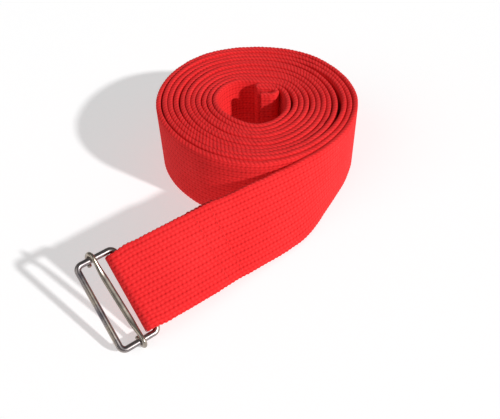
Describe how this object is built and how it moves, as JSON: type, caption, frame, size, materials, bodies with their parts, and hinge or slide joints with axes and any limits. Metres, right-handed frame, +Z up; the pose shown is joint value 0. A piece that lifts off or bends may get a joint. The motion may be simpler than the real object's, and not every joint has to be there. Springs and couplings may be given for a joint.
{
  "type": "gait belt",
  "caption": "Woven webbing strap rolled up on its edge, its outer end folded and sewn round a rectangular wire buckle that carries a sliding bar.",
  "frame": {"origin": "under the middle of the belt's bounding box, on the plane the roll's lower edge rests on", "axes": "+Z up along the roll's axis; +X along the strap's free run, from the buckle towards the roll; +Y across the free run, from its lower edge towards the roll's far side"},
  "size_m": [0.1716, 0.1208, 0.0381],
  "materials": {
    "webbing": "red woven cotton webbing",
    "thread": "red sewing thread",
    "frame_wire": "nickel-plated steel wire",
    "slide_bar": "nickel-plated steel, flattened wire"
  },
  "bodies": {
    "strap": {"webbing_roll": "webbing", "webbing_lead": "webbing", "seam_1_needle_thread": "thread", "seam_1_bobbin_thread": "thread", "seam_2_needle_thread": "thread", "seam_2_bobbin_thread": "thread", "tail_hem_thread": "thread"},
    "frame": {"buckle_frame": "frame_wire"},
    "bar": {"slide_bar": "slide_bar"}
  },
  "joints": [
    {"name": "frame_swing", "type": "hinge", "parent": "strap", "child": "frame", "pos_m": [-0.06671, -0.04011, 0.01519], "axis": [0, 0.8261, 0.5635], "range_deg": [0, 100]},
    {"name": "bar_slide", "type": "slide", "parent": "frame", "child": "bar", "axis": [1, 0, 0], "range_m": [-0.001, 0.0014]}
  ]
}
